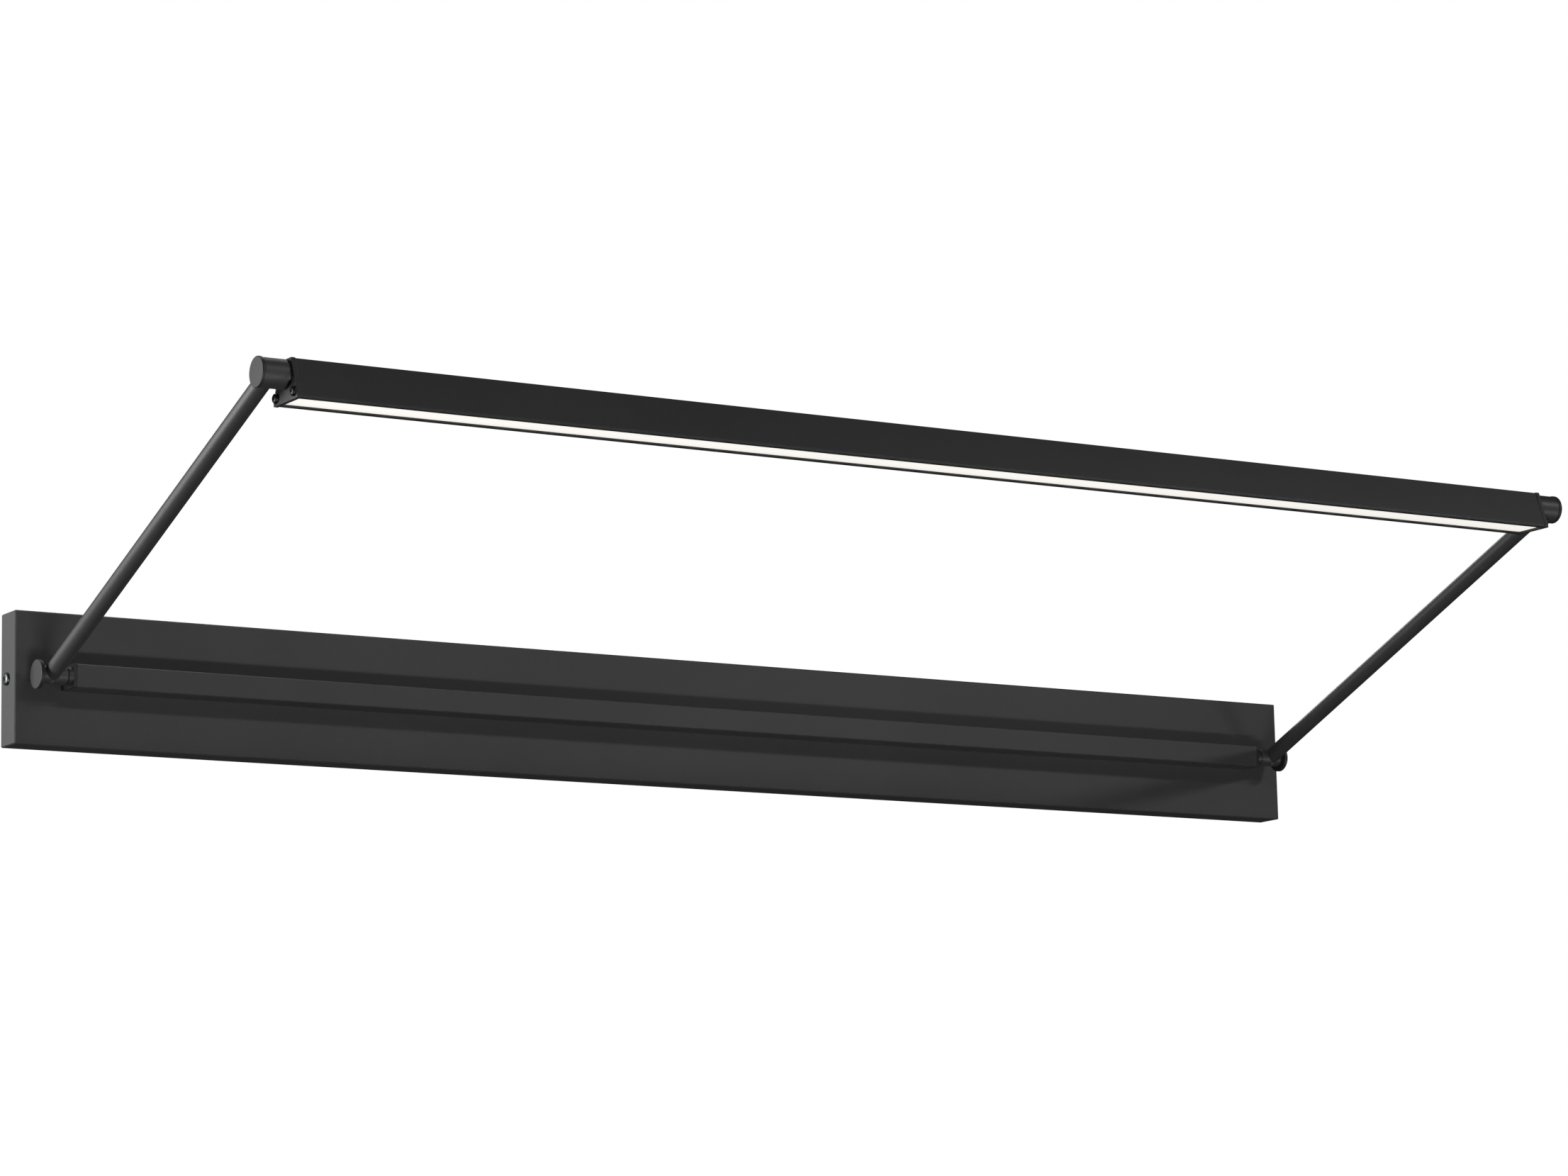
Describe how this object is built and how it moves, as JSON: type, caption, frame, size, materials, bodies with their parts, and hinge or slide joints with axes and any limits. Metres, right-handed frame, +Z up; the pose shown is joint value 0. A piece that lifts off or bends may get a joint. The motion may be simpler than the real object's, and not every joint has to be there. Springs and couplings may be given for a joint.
{
  "type": "picture light",
  "caption": "Long black wall light for pictures: shallow wall pan, stand-off rail, two round arms that swing together and a slim LED head that tilts between them.",
  "frame": {"origin": "middle of the box plate's back face, on the wall, halfway between its two box screw holes", "axes": "+X along the wall and along the light, +Y into the wall, +Z up"},
  "size_m": [1.1748, 0.4282, 0.215],
  "materials": {
    "pan": "satin black powder coat on steel",
    "bracket": "zinc plated steel sheet",
    "screw_black": "black oxide steel",
    "screw_steel": "plain bright steel",
    "ground": "green dyed steel",
    "driver_case": "plain galvanised sheet",
    "board_green": "green solder mask",
    "components": "moulded parts and wound coils",
    "nylon_white": "moulded nylon",
    "brass": "turned brass",
    "wire": "flexible insulation over stranded wire",
    "wire_red": "flexible insulation over stranded wire",
    "bush_black": "black acetal",
    "grommet": "soft black rubber",
    "black_part": "satin black powder coat on steel",
    "alu_black": "satin black powder coat on aluminium",
    "led_board": "white solder mask on aluminium core",
    "led_chip": "yellow phosphor",
    "diffuser": "opal polycarbonate"
  },
  "bodies": {
    "wall_unit": {"box_plate": "bracket", "bracket_left": "bracket", "bracket_right": "bracket", "splice_plates": "bracket", "splice_rivets": "screw_steel", "pan_channel": "pan", "pan_end_left": "pan", "pan_end_right": "pan", "pan_side_screws": "screw_black", "driver_tray": "driver_case", "driver_lid": "driver_case", "driver_board": "board_green", "driver_parts": "components", "driver_screws": "screw_steel", "terminal_block": "nylon_white", "terminal_screws": "brass", "ground_screw": "ground", "input_leads": "wire", "rail": "alu_black", "rail_plug_left": "alu_black", "rail_plug_right": "alu_black", "rail_screws": "screw_steel", "rail_nuts": "screw_steel", "wire_grommet": "grommet", "rail_leads": "wire_red", "pivot_spindle_left": "screw_steel", "pivot_spindle_right": "screw_steel", "pivot_bushes": "bush_black", "pivot_washers": "bush_black", "pivot_disc_left": "black_part", "pivot_disc_right": "black_part"},
    "arm_left": {"lower_knuckle_left": "black_part", "arm_tube_left": "black_part", "upper_knuckle_left": "black_part", "knuckle_cap_left": "black_part", "set_screw_left": "screw_steel", "arm_lead_left": "wire_red"},
    "arm_right": {"lower_knuckle_right": "black_part", "arm_tube_right": "black_part", "upper_knuckle_right": "black_part", "knuckle_cap_right": "black_part", "set_screw_right": "screw_steel", "arm_lead_right": "wire_red"},
    "head": {"head_channel": "alu_black", "led_boards": "led_board", "led_chips": "led_chip", "diffuser": "diffuser", "end_cap_left": "alu_black", "end_cap_right": "alu_black", "end_cap_screws": "screw_black", "trunnion_left": "screw_steel", "trunnion_right": "screw_steel", "trunnion_nuts": "screw_steel", "tilt_washers": "screw_steel", "head_leads": "wire_red"}
  },
  "joints": [
    {"name": "arm_swing_left", "type": "hinge", "parent": "wall_unit", "child": "arm_left", "pos_m": [-0.564, -0.042, 0], "axis": [-1, 0, 0], "range_deg": [-110, 65]},
    {"name": "arm_swing_right", "type": "hinge", "parent": "wall_unit", "child": "arm_right", "pos_m": [0.564, -0.042, 0], "axis": [-1, 0, 0], "range_deg": [-110, 65]},
    {"name": "head_tilt", "type": "hinge", "parent": "arm_left", "child": "head", "pos_m": [-0.564, -0.41009, 0.15398], "axis": [1, 0, 0], "range_deg": [-110, 110]}
  ],
  "couplings": [
    {"joint": "arm_swing_right", "follows": "arm_swing_left", "ratio": 1}
  ]
}
